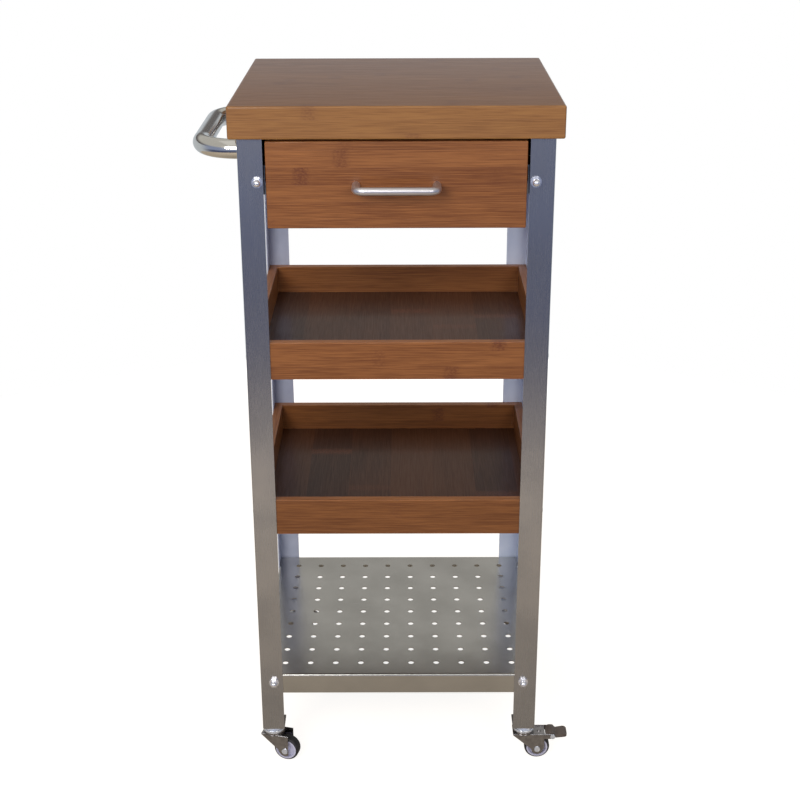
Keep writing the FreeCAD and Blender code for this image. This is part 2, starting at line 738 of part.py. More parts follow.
def bottom_shelf():
    """A pressed sheet tray, lips down, with a grid of round holes and a bolt hole at each leg."""
    body = new_body("bottom_shelf")
    width = f"(2 * {INSIDE_LEG})"
    depth = "(cart_depth - 2 * leg_sheet)"
    block(body, "blank", (width, depth, "shelf_lip"))
    top = SIZES["shelf_lip"]
    round_edges(body, "folds", "shelf_bend", lambda edge: runs_along(edge, "z") or level(edge, top))
    hollow = body.newObject("PartDesign::Thickness", "hollow")
    base = body.Group[-2]
    underside = [n for n, face in enumerate(base.Shape.Faces, start=1) if face.BoundBox.ZMax < 0.01]
    hollow.Base = (base, [f"Face{underside[0]}"])
    hollow.Reversed = True
    bind(hollow, {"Value": "shelf_sheet"})
    doc.recompute()
    first = ("shelf_hole_margin", "shelf_hole_margin", "shelf_lip - 2 * shelf_sheet")
    hole = drum(body, "hole", "shelf_hole_radius", "3 * shelf_sheet", first, cut=True)
    grid = body.newObject("PartDesign::MultiTransform", "hole_grid")
    grid.Originals = [hole]
    steps = []
    for name, role, count, extent in (
        ("columns", "X_Axis", "shelf_columns", f"{width} - 2 * shelf_hole_margin"),
        ("rows", "Y_Axis", "shelf_rows", f"{depth} - 2 * shelf_hole_margin"),
    ):
        step = body.newObject("PartDesign::LinearPattern", name)
        step.Direction = (origin_feature(body, role), [""])
        bind(step, {"Length": extent, "Occurrences": count})
        steps.append(step)
    grid.Transformations = steps
    body.Tip = grid
    doc.recompute()
    for (end_name, rear), (side_name, sign) in CORNERS:
        x = f"({INSIDE_LEG} + {at_side(sign, SHELF_BOLT_X)})"
        y = f"({depth} - 2 * shelf_sheet)" if rear else "-shelf_sheet"
        at = (x, y, "shelf_lip - shelf_bolt_drop")
        hole_name = f"bolt_hole_{end_name}_{side_name}"
        drum(body, hole_name, BOLT_HOLE, "3 * shelf_sheet", at, "+y", cut=True)
    keep(body, "bottom_shelf", (f"-{INSIDE_LEG}", "leg_sheet", "shelf_top - shelf_lip"))


# ---------------------------------------------------------------- push handle

HANDLE_BOLTS = (
    ("front", "handle_inset"),
    ("rear", "(cart_depth - handle_inset)"),
)


def push_handle():
    """A bent steel tube that stands out level from the left side rail."""
    centres = "(cart_depth - 2 * handle_inset)"
    outside = bow("handle_outside", "handle_radius", centres, "handle_reach", "handle_bend")
    bore = "(handle_radius - handle_wall)"
    inside = bow("handle_inside", bore, centres, "handle_reach", "handle_bend")
    tube = cut_away("push_handle", outside, inside)
    sideways = Rotation(Vector(0, 0, 1), QUARTER_TURN)
    keep(tube, "push_handle", (f"-{INSIDE_LEG}", "cart_depth / 2", HANDLE_Z), sideways)


def handle_plugs():
    """Threaded plugs welded into the tube's two ends, for the bolts through the side rail."""
    plugs = []
    for name, y in HANDLE_BOLTS:
        at = (f"-{INSIDE_LEG}", y, HANDLE_Z)
        radius = "handle_radius - handle_wall - thread_gap"
        plug = rod(f"{name}_plug_blank", radius, "handle_plug_length", at, "-x")
        thread = rod(f"{name}_plug_thread", "bolt_radius + thread_gap", "handle_plug_length", at, "-x")
        plugs.append(cut_away(f"{name}_plug", plug, thread))
    keep(group("handle_plugs", plugs), "handle_plugs")


# ---------------------------------------------------------------- bolts, nuts and screws of the frame


def frame_bolts():
    """Bolts from inside: through the rails and the shelf into the cap nuts, and through the left rail into
    the push handle."""
    bolts = []
    for (end_name, rear), (side_name, sign) in CORNERS:
        toward = "+y" if rear else "-y"
        rail_stack = "(leg_sheet + 2 * rail_sheet)" if rear else "(leg_sheet + rail_sheet)"
        shelf_stack = "(leg_sheet + shelf_sheet)"
        for name, x, z, stack in (
            ("rail", RAIL_BOLT_X, RAIL_BOLT_Z, rail_stack),
            ("shelf", SHELF_BOLT_X, SHELF_BOLT_Z, shelf_stack),
        ):
            at = (at_side(sign, x), at_end(rear, stack), z)
            label = f"{name}_bolt_{end_name}_{side_name}"
            bolts.append(hex_bolt(label, f"{stack} + bolt_reach_in_nut", at, toward))
    for name, y in HANDLE_BOLTS:
        at = (f"-({INSIDE_LEG} - rail_sheet)", y, HANDLE_Z)
        bolts.append(hex_bolt(f"handle_bolt_{name}", "rail_sheet + handle_plug_length", at, "-x"))
    keep(group("frame_bolts", bolts), "frame_bolts")


def cap_nuts():
    """Domed nuts on the outer faces of the legs."""
    nuts = []
    for (end_name, rear), (side_name, sign) in CORNERS:
        toward = "+y" if rear else "-y"
        for name, x, z in (("rail", RAIL_BOLT_X, RAIL_BOLT_Z), ("shelf", SHELF_BOLT_X, SHELF_BOLT_Z)):
            at = (at_side(sign, x), at_end(rear, "0"), z)
            nuts.append(cap_nut(f"{name}_nut_{end_name}_{side_name}", at, toward))
    keep(group("cap_nuts", nuts), "cap_nuts")


def top_screws():
    """Screws up through the rails into the worktop."""
    screws = []
    for number, (x, y) in enumerate(top_screw_spots()):
        at = (x, y, f"({TOP_UNDERSIDE} - rail_sheet)")
        length = "rail_sheet + top_screw_bite"
        screws.append(pan_screw(f"top_screw_{number}", "top_screw_radius", length, at, "+z"))
    keep(group("top_screws", screws), "top_screws")


def tray_screws():
    """Screws in through the legs' side flanges into the trays' side boards."""
    screws = []
    for name, bottom in TRAYS:
        for (end_name, rear), (side_name, sign) in CORNERS:
            at = (at_side(sign, HALF), at_end(rear, TRAY_SCREW_Y), tray_screw_height(bottom))
            toward = "+x" if sign < 0 else "-x"
            label = f"{name}_screw_{end_name}_{side_name}"
            screws.append(pan_screw(label, "tray_screw_radius", "leg_sheet + tray_screw_bite", at, toward))
    keep(group("tray_screws", screws), "tray_screws")


# ---------------------------------------------------------------- drawer

DRAWER_FRONT_HALF = f"({LEG_INNER} - drawer_side_gap)"
DRAWER_BOX_LOW = f"({DRAWER_FRONT_LOW} + drawer_box_rise)"
DRAWER_BOX_LENGTH = "(cart_depth - drawer_rear_gap - drawer_front_thick)"
DRAWER_GROOVE_Z = f"({DRAWER_BOX_LOW} + drawer_floor_rise)"
DRAWER_BACK_INNER = f"(drawer_front_thick + {DRAWER_BOX_LENGTH} - drawer_board)"
RUNNER_LOW = f"({SLIDE_Z} - slide_track_tall / 2 + slide_sheet + slide_gap)"
RUNNER_TALL = "(slide_track_tall - 2 * slide_sheet - 2 * slide_gap)"
PULL_SPOTS = (("left", "-pull_centres / 2"), ("right", "pull_centres / 2"))
RUNNER_SCREWS = (
    ("front", "(drawer_front_thick + runner_screw_inset)"),
    ("back", f"(drawer_front_thick + {DRAWER_BOX_LENGTH} - runner_screw_inset)"),
)


def drawer_front():
    """The bamboo drawer front, flush with the legs, grooved for the floor and drilled for the pull."""
    body = new_body("drawer_front")
    size = (f"2 * {DRAWER_FRONT_HALF}", "drawer_front_thick", "drawer_front_height")
    block(body, "panel", size, (f"-{DRAWER_FRONT_HALF}", "0", DRAWER_FRONT_LOW))
    round_edges(body, "easing", "drawer_front_round", lambda edge: True)
    half = f"({DRAWER_BOX_HALF} - drawer_board + groove_depth)"
    at = (f"-{half}", "drawer_front_thick - groove_depth", DRAWER_GROOVE_Z)
    block(body, "groove", (f"2 * {half}", "groove_depth", DRAWER_TONGUE), at, cut=True)
    for name, x in PULL_SPOTS:
        hole = "pull_screw_radius + bolt_hole_gap"
        drum(body, f"{name}_hole", hole, "drawer_front_thick", (x, "0", PULL_Z), "+y", cut=True)
    keep(body, "drawer_front")


def drawer_side(side):
    """A drawer side board, grooved for the floor and piloted for the runner's screws."""
    side_name, sign = side
    body = new_body(f"drawer_{side_name}")
    inner = f"({DRAWER_BOX_HALF} - drawer_board)"
    at = (mirrored(sign, inner, DRAWER_BOX_HALF), "drawer_front_thick", DRAWER_BOX_LOW)
    block(body, "board", ("drawer_board", DRAWER_BOX_LENGTH, "drawer_box_height"), at)
    groove_at = (mirrored(sign, inner, f"{inner} + groove_depth"), "drawer_front_thick", DRAWER_GROOVE_Z)
    block(body, "groove", ("groove_depth", DRAWER_BOX_LENGTH, DRAWER_TONGUE), groove_at, cut=True)
    for name, y in RUNNER_SCREWS:
        start = (mirrored(sign, f"{DRAWER_BOX_HALF} - runner_screw_bite", DRAWER_BOX_HALF), y, SLIDE_Z)
        drum(body, f"{name}_pilot", "runner_screw_radius", "runner_screw_bite", start, "+x", cut=True)
    keep(body, f"drawer_{side_name}")


def drawer_back():
    """The drawer's back board, between the sides."""
    body = new_body("drawer_back")
    half = f"({DRAWER_BOX_HALF} - drawer_board)"
    size = (f"2 * {half}", "drawer_board", "drawer_box_height")
    block(body, "board", size, (f"-{half}", DRAWER_BACK_INNER, DRAWER_BOX_LOW))
    at = (f"-{half}", DRAWER_BACK_INNER, DRAWER_GROOVE_Z)
    block(body, "groove", (f"2 * {half}", "groove_depth", DRAWER_TONGUE), at, cut=True)
    keep(body, "drawer_back")


def drawer_floor():
    """The drawer's floor panel, let into the grooves of the front, sides and back."""
    half = f"({DRAWER_BOX_HALF} - drawer_board + groove_depth - groove_slack)"
    front = "(drawer_front_thick - groove_depth + groove_slack)"
    length = f"({DRAWER_BACK_INNER} + groove_depth - groove_slack - {front})"
    at = (f"-{half}", front, DRAWER_GROOVE_Z)
    floor_panel("drawer_floor", f"2 * {half}", length, DRAWER_TONGUE, "drawer_floor_thick", at)


def drawer_pull():
    """A bow pull of round bar, tapped at both feet."""
    bar = bow("pull_bar", "pull_radius", "pull_centres", "pull_reach", "pull_bend")
    taps = [
        rod(f"{name}_tap", "pull_screw_radius + thread_gap", "pull_screw_bite", (x, "0", "0"), "+y")
        for name, x in PULL_SPOTS
    ]
    pull = cut_away("drawer_pull", bar, fused("pull_taps", taps))
    keep(pull, "drawer_pull", ("0", "0", PULL_Z), Rotation(Vector(0, 0, 1), HALF_TURN))


def pull_screws():
    """Screws through the drawer front into the pull's feet."""
    screws = []
    for name, x in PULL_SPOTS:
        at = (x, "drawer_front_thick", PULL_Z)
        length = "drawer_front_thick + pull_screw_bite"
        screws.append(pan_screw(f"{name}_pull_screw", "pull_screw_radius", length, at, "-y"))
    keep(group("pull_screws", screws), "pull_screws")


def drawer_runner(side):
    """The moving half of a drawer slide: a channel on the drawer's side, inside the fixed track."""
    side_name, sign = side
    body = new_body(f"drawer_runner_{side_name}")
    web_outer = f"({DRAWER_BOX_HALF} + slide_sheet)"
    outer = f"({SLIDE_WEB_INNER} - slide_gap)"
    length = f"({DRAWER_BOX_LENGTH} - slide_setback)"
    front = "(drawer_front_thick + slide_setback)"
    at = (mirrored(sign, DRAWER_BOX_HALF, web_outer), front, RUNNER_LOW)
    block(body, "web", ("slide_sheet", length, RUNNER_TALL), at)
    for name, z in (("lower", RUNNER_LOW), ("upper", f"({RUNNER_LOW} + {RUNNER_TALL} - slide_sheet)")):
        at = (mirrored(sign, DRAWER_BOX_HALF, outer), front, z)
        block(body, f"{name}_flange", (f"{outer} - {DRAWER_BOX_HALF}", length, "slide_sheet"), at)
    for name, y in RUNNER_SCREWS:
        start = (mirrored(sign, DRAWER_BOX_HALF, web_outer), y, SLIDE_Z)
        drum(body, f"{name}_hole", "runner_screw_radius", "slide_sheet", start, "+x", cut=True)
    keep(body, f"drawer_runner_{side_name}")


def runner_screws():
    """Screws from the runners into the drawer's sides."""
    screws = []
    for side_name, sign in (LEFT, RIGHT):
        for name, y in RUNNER_SCREWS:
            at = (at_side(sign, f"{DRAWER_BOX_HALF} + slide_sheet"), y, SLIDE_Z)
            toward = "+x" if sign < 0 else "-x"
            label = f"runner_screw_{side_name}_{name}"
            length = "slide_sheet + runner_screw_bite"
            screws.append(pan_screw(label, "runner_screw_radius", length, at, toward))
    keep(group("runner_screws", screws), "runner_screws")


# ---------------------------------------------------------------- casters


def caster_spot(end, side):
    """Where a caster's swivel axis stands, in cart axes."""
    return (at_side(side[1], CASTER_X), at_end(end[1], "caster_inset"), "0")


def caster_turn(end, side):
    """The front left caster rests with its wheel turned a little forward; the others trail straight."""
    angle = -SIZES["front_left_turn"] if (end, side) == (FRONT, LEFT) else 0
    return Rotation(Vector(0, 0, 1), angle)


def wheel_spot(end, side):
    """The middle of a caster's wheel, in cart axes."""
    x, y, _ = caster_spot(end, side)
    if (end, side) == (FRONT, LEFT):
        x = f"{x} + caster_trail * cos(front_left_turn)"
        y = f"{y} - caster_trail * sin(front_left_turn)"
        return (x, y, "wheel_radius")
    return (f"{x} + caster_trail", y, "wheel_radius")


def caster_stems():
    """The fixed half of each caster: a threaded stem, the upper race under the leg, and the king pin."""
    cone_low = f"({UPPER_RACE_LOW} + race_rim_thick)"
    cone_tall = "(upper_race_thick - race_rim_thick)"
    pin_low = f"({CROWN_UNDERSIDE} - race_gap - king_pin_head_thick)"
    stems = []
    for end, side in CORNERS:
        body = new_body(f"caster_stem_{end[0]}_{side[0]}")
        drum(body, "race_rim", "race_radius", "race_rim_thick", ("0", "0", UPPER_RACE_LOW))
        round_edges(body, "rim_round", "race_round", lambda edge: edge.BoundBox.ZLength < 0.01)
        neck_base = "race_radius - 2 * race_round"
        cone(body, "race_neck", neck_base, "race_neck_radius", cone_tall, ("0", "0", cone_low))
        drum(body, "stem", "stem_radius", "stem_length", ("0", "0", CASTER_HEIGHT))
        drum(body, "king_pin", "king_pin_radius", f"{UPPER_RACE_LOW} - {pin_low}", ("0", "0", pin_low))
        drum(body, "king_pin_head", "king_pin_head_radius", "king_pin_head_thick", ("0", "0", pin_low))
        put(body, caster_spot(end, side))
        stems.append(body)
    keep(group("caster_stems", stems), "caster_stems")


def stem_nuts():
    """Hexagon nuts that hold the stems to the foot plates."""
    nuts = []
    for end, side in CORNERS:
        name = f"stem_nut_{end[0]}_{side[0]}"
        x, y, _ = caster_spot(end, side)
        blank = hexagon(f"{name}_blank", "stem_nut_flats", "stem_nut_thick")
        thread = rod(f"{name}_thread", "stem_radius + thread_gap", "stem_nut_thick")
        nut = cut_away(name, blank, thread)
        put(nut, (x, y, f"{CASTER_HEIGHT} + foot_plate_thick"))
        nuts.append(nut)
    keep(group("stem_nuts", nuts), "stem_nuts")


def caster_fork(end, side, braked):
    """A folded fork: two cheeks that slant back to the axle, hung from the lower race. A braked caster's
    cheeks reach further, to the pedal's pin."""
    name = f"caster_fork_{end[0]}_{side[0]}"
    body = new_body(name)
    tail = BRAKE_PIN_X if braked else "(caster_trail + fork_tail)"
    heel = "(caster_trail + brake_arm_foot)" if braked else tail
    heel_z = f"({BRAKE_PIN_Z} - brake_pin_drop)" if braked else "wheel_radius"
    lobe_left = "(caster_trail - fork_lobe_radius)"
    corners = [("-race_radius", FORK_TOP), (tail, FORK_TOP)]
    if braked:
        corners += [(tail, heel_z), (heel, heel_z)]
    corners += [(heel, "wheel_radius"), (lobe_left, "wheel_radius"), ("-race_radius", CROWN_UNDERSIDE)]
    profile(body, "cheeks", corners, "fork_width")
    start = ("caster_trail", "-fork_width / 2", "wheel_radius")
    drum(body, "axle_lobe", "fork_lobe_radius", "fork_width", start, "+y")
    if not braked:
        cut_length = "fork_lobe_radius"
        cut_at = (tail, "-fork_width / 2", "wheel_radius - fork_lobe_radius")
        block(body, "lobe_trim", (cut_length, "fork_width", "2 * fork_lobe_radius"), cut_at, cut=True)
    top = body.Tip.Shape.BoundBox.ZMax
    round_edges(body, "fold", "fork_fold", lambda edge: runs_along(edge, "x") and level(edge, top))
    if braked:
        pin_at = (BRAKE_PIN_X, "-fork_width / 2", BRAKE_PIN_Z)
        drum(body, "pin_lobe", "brake_pin_drop", "fork_width", pin_at, "+y")
    far = f"({tail} + 2 * race_radius + brake_pin_drop)"
    slot_at = ("-2 * race_radius", f"-{WHEEL_HALF_GAP}", "0")
    block(body, "wheel_slot", (far, f"2 * {WHEEL_HALF_GAP}", CROWN_UNDERSIDE), slot_at, cut=True)
    mouth_at = ("0", f"-{WHEEL_HALF_GAP}", "0")
    block(body, "mouth", (far, f"2 * {WHEEL_HALF_GAP}", f"2 * {FORK_TOP}"), mouth_at, cut=True)
    drum(body, "crown", "race_radius", "fork_sheet", ("0", "0", CROWN_UNDERSIDE))
    drum(body, "lower_race", "race_radius - race_round", "lower_race_thick", ("0", "0", FORK_TOP))
    race_top = body.Tip.Shape.BoundBox.ZMax
    round_edges(body, "race_edge", "race_round", lambda edge: level(edge, race_top))
    pin_hole = "king_pin_radius + running_gap"
    drum(body, "king_pin_hole", pin_hole, FORK_TOP, ("0", "0", f"{FORK_TOP} / 2"), cut=True)
    drum(body, "axle_hole", "axle_radius + thread_gap", "fork_width", start, "+y", cut=True)
    if braked:
        drum(body, "brake_pin_hole", "brake_pin_radius + thread_gap", "fork_width", pin_at, "+y", cut=True)
    keep(body, name, caster_spot(end, side), caster_turn(end, side))


def caster_axle(end, side, braked):
    """The axle rivet through the cheeks, and on a braked caster the pedal's pin too."""
    name = f"caster_axle_{end[0]}_{side[0]}"
    pins = [headed_pin(f"{name}_rivet", "axle_radius", "axle_head_radius", ("caster_trail", "wheel_radius"))]
    if braked:
        centre = (BRAKE_PIN_X, BRAKE_PIN_Z)
        pins.append(headed_pin(f"{name}_brake_pin", "brake_pin_radius", "brake_pin_head_radius", centre))
    keep(group(name, pins), name, caster_spot(end, side), caster_turn(end, side))


def headed_pin(name, radius, head_radius, centre):
    """A pin across the fork with a flat head on the outside of each cheek."""
    x, z = centre
    shank = rod(f"{name}_shank", radius, "fork_width", (x, "-fork_width / 2", z), "+y")
    near = rod(f"{name}_near_head", head_radius, "axle_head_thick", (x, "-fork_width / 2", z), "-y")
    far = rod(f"{name}_far_head", head_radius, "axle_head_thick", (x, "fork_width / 2", z), "+y")
    return fused(name, [shank, near, far])


def caster_hub(end, side):
    """A moulded wheel centre: a rim ring, a thinner web and a boss that fills the fork's width."""
    name = f"caster_hub_{end[0]}_{side[0]}"
    body = new_body(name)
    half = "(wheel_width / 2)"
    drum(body, "rim", HUB_RADIUS, "wheel_width", ("0", f"-{half}", "0"), "+y")
    recess = f"{HUB_RADIUS} - hub_rim_wall"
    for face, y in (("near", f"-{half}"), ("far", f"({half} - hub_recess)")):
        drum(body, f"{face}_recess", recess, "hub_recess", ("0", y, "0"), "+y", cut=True)
    boss_half = f"({WHEEL_HALF_GAP} - wheel_side_gap)"
    drum(body, "boss", "hub_boss_radius", f"2 * {boss_half}", ("0", f"-{boss_half}", "0"), "+y")
    bore_at = ("0", "-fork_width / 2", "0")
    drum(body, "bore", "axle_radius + running_gap", "fork_width", bore_at, "+y", cut=True)
    keep(body, name, wheel_spot(end, side), caster_turn(end, side))


def caster_tyre(end, side):
    """A tyre with round shoulders on the hub's rim."""
    name = f"caster_tyre_{end[0]}_{side[0]}"
    body = new_body(name)
    start = ("0", "-wheel_width / 2", "0")
    drum(body, "tread", "wheel_radius", "wheel_width", start, "+y")
    round_edges(body, "shoulders", "tyre_round", lambda edge: edge.BoundBox.XLength > SIZES["wheel_radius"])
    drum(body, "seat", HUB_RADIUS, "wheel_width", start, "+y", cut=True)
    keep(body, name, wheel_spot(end, side), caster_turn(end, side))


def brake_pedal(end, side):
    """A moulded pedal that turns on the pin between the cheeks: a humped nose, a waist and a broad tip."""
    name = f"brake_pedal_{end[0]}_{side[0]}"
    body = new_body(name)
    width = f"(2 * ({WHEEL_HALF_GAP} - pedal_side_gap))"
    corners = [
        ("-pedal_nose", "pedal_round - pedal_sink"),
        ("-pedal_nose", "pedal_hump_rise - 2 * pedal_round"),
        ("-pedal_nose / 2", "pedal_hump_rise"),
        ("0", "pedal_hump_rise"),
        ("pedal_length / 4", "pedal_waist_rise"),
        ("pedal_length * 3 / 4", "pedal_tip_rise"),
        ("pedal_length", "pedal_tip_rise - pedal_round / 2"),
        ("pedal_length", "pedal_tip_under"),
        ("pedal_length / 4", "-pedal_sink"),
    ]
    profile(body, "lever", corners, width)
    tip = SIZES["pedal_length"]

    def at_tip(edge):
        return edge.BoundBox.XMin > tip - 0.01

    round_edges(body, "tip_corners", "pedal_corner", lambda edge: runs_along(edge, "z") and at_tip(edge))
    round_edges(body, "contour", "pedal_round", lambda edge: runs_along(edge, "y") and not at_tip(edge))
    start = ("0", f"-{width} / 2", "0")
    drum(body, "boss", "pedal_boss_radius", width, start, "+y")
    bore_at = ("0", "-fork_width / 2", "0")
    drum(body, "bore", "brake_pin_radius + running_gap", "fork_width", bore_at, "+y", cut=True)
    x, y, _ = caster_spot(end, side)
    keep(body, name, (f"{x} + {BRAKE_PIN_X}", y, BRAKE_PIN_Z))


def brake_leaf(end, side):
    """The brake's spring leaf: a flat plate under the crown that reaches out over the tyre, with a rivet."""
    name = f"brake_leaf_{end[0]}_{side[0]}"
    body = new_body(name)
    length = f"({BRAKE_PIN_X} - pedal_nose - leaf_pedal_gap - leaf_start)"
    half = f"({WHEEL_HALF_GAP} - leaf_side_gap)"
    low = f"({CROWN_UNDERSIDE} - leaf_thick)"
    block(body, "leaf", (length, f"2 * {half}", "leaf_thick"), ("leaf_start", f"-{half}", low))
    rivet_at = ("(race_radius + leaf_start)", "0", CROWN_UNDERSIDE)
    drum(body, "rivet", "leaf_rivet_radius", "leaf_rivet_thick", rivet_at)
    keep(body, name, caster_spot(end, side))


# ---------------------------------------------------------------- build, check and write

top_board()
for corner in CORNERS:
    leg(*corner)
foot_plates()
for side in (LEFT, RIGHT):
    side_rail(side)
    slide_track(side)
rear_rail()
for tray in TRAYS:
    tray_boards(*tray)
    tray_floor(*tray)
bottom_shelf()
push_handle()
handle_plugs()
frame_bolts()
cap_nuts()
top_screws()
tray_screws()
drawer_front()
for side in (LEFT, RIGHT):
    drawer_side(side)
    drawer_runner(side)
drawer_back()
drawer_floor()
drawer_pull()
pull_screws()
runner_screws()
caster_stems()
stem_nuts()
for end, side in CORNERS:
    braked = (end[0], side[0]) in BRAKED
    caster_fork(end, side, braked)
    caster_axle(end, side, braked)
    caster_hub(end, side)
    caster_tyre(end, side)
    if braked:
        brake_pedal(end, side)
        brake_leaf(end, side)

doc.recompute()
for thing in doc.Objects:
    if {"Invalid", "Error"} & set(thing.State):
        raise RuntimeError(f"{thing.Name} failed: {thing.State}")
for thing in sub_parts:
    if thing.Shape.isNull() or not thing.Shape.isValid():
        raise RuntimeError(f"{thing.Label} has no valid shape")

os.makedirs("parts", exist_ok=True)
for thing in sub_parts:
    thing.Shape.exportStep(os.path.join("parts", f"{thing.Label}.step"))
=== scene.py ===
"""Kitchen cart: finishes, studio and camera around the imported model.

The worktop, drawer and trays are caramel bamboo, glued up from strips and lacquered. The front legs and the pressed
shelf are brushed stainless steel, the rear legs are left as they come from the mill, the push handle is polished
tube, and the casters are zinc-plated with moulded wheels. All lengths are in metres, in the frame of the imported
model, and a colour is red, green and blue in linear light.
"""

import json
import math

import bpy
import numpy as np
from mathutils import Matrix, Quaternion, Vector


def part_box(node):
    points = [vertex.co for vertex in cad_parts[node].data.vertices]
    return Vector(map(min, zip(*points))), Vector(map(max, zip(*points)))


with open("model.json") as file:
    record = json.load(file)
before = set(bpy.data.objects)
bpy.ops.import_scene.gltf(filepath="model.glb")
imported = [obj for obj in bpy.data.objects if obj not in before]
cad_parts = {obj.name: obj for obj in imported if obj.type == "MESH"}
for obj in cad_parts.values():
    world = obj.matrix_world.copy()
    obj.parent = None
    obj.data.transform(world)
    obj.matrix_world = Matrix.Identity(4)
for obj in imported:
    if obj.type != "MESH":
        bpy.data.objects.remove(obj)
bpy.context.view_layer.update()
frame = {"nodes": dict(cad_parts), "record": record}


# ---------------------------------------------------------------- node helpers


def feed(tree, socket, value):
    """Join an input to another node's output, or set it to a plain value."""
    if isinstance(value, bpy.types.NodeSocket):
        tree.links.new(value, socket)
    else:
        socket.default_value = value


def add(tree, kind, inputs=None, **settings):
    """Add a node, set its properties and feed its inputs."""
    node = tree.nodes.new(kind)
    for name, value in settings.items():
        setattr(node, name, value)
    for key, value in (inputs or {}).items():
        feed(tree, node.inputs[key], value)
    return node


def calc(tree, operation, *values):
    """One step of arithmetic on numbers."""
    return add(tree, "ShaderNodeMath", dict(enumerate(values)), operation=operation).outputs[0]


def vector_calc(tree, operation, *values):
    """One step of arithmetic on vectors."""
    return add(tree, "ShaderNodeVectorMath", dict(enumerate(values)), operation=operation).outputs[0]


def fade(tree, value, start, end, low=0.0, high=1.0):
    """A smooth step from low at start to high at end, level outside them."""
    inputs = {0: value, 1: start, 2: end, 3: low, 4: high}
    return add(tree, "ShaderNodeMapRange", inputs, interpolation_type="SMOOTHSTEP").outputs[0]


def mixed(tree, factor, first, second, how="MIX"):
    """Two colours mixed by a factor."""
    inputs = {0: factor, 6: first, 7: second}
    return add(tree, "ShaderNodeMix", inputs, data_type="RGBA", blend_type=how).outputs[2]


def noise(tree, vector, scale=1.0, detail=2.0, roughness=0.5):
    """Smooth noise, 0.5 on average. scale is in cells per unit of the vector."""
    inputs = {"Vector": vector, "Scale": scale, "Detail": detail, "Roughness": roughness}
    return add(tree, "ShaderNodeTexNoise", inputs).outputs["Fac"]


def rgba(colour):
    """A colour with full alpha, as the sockets take it."""
    return (*colour, 1.0)


def new_group(name, inputs, outputs):
    """An empty shader node group with named sockets. Returns its tree, its inputs and its output node."""
    tree = bpy.data.node_groups.new(name, "ShaderNodeTree")
    kinds = {"number": "NodeSocketFloat", "colour": "NodeSocketColor", "vector": "NodeSocketVector"}
    for label, kind in inputs.items():
        tree.interface.new_socket(label, in_out="INPUT", socket_type=kinds[kind])
    for label, kind in outputs.items():
        tree.interface.new_socket(label, in_out="OUTPUT", socket_type=kinds[kind])
    return tree, tree.nodes.new("NodeGroupInput").outputs, tree.nodes.new("NodeGroupOutput")


# ---------------------------------------------------------------- patterns


# How many cells of noise there are to a metre: along the grain, across it and through it.
FINE_FIBRE = (24.0, 1500.0, 1500.0)
COARSE_FIBRE = (16.0, 800.0, 800.0)
SLOW_TONE = (5.0, 40.0, 40.0)
KNOT_DASH = (300.0, 520.0, 520.0)
KNOT_WANDER = 260.0
FINE_SHARE = 0.6
# How far from its middle line each mark starts to show, and how far it is at its darkest.
KNOT_REACH = 0.013
KNOT_CORE = 0.003
RING_EDGE = 0.0016
RING_CORE = 0.0004
GLUE_EDGE = 0.00035
GLUE_CORE = 0.0001


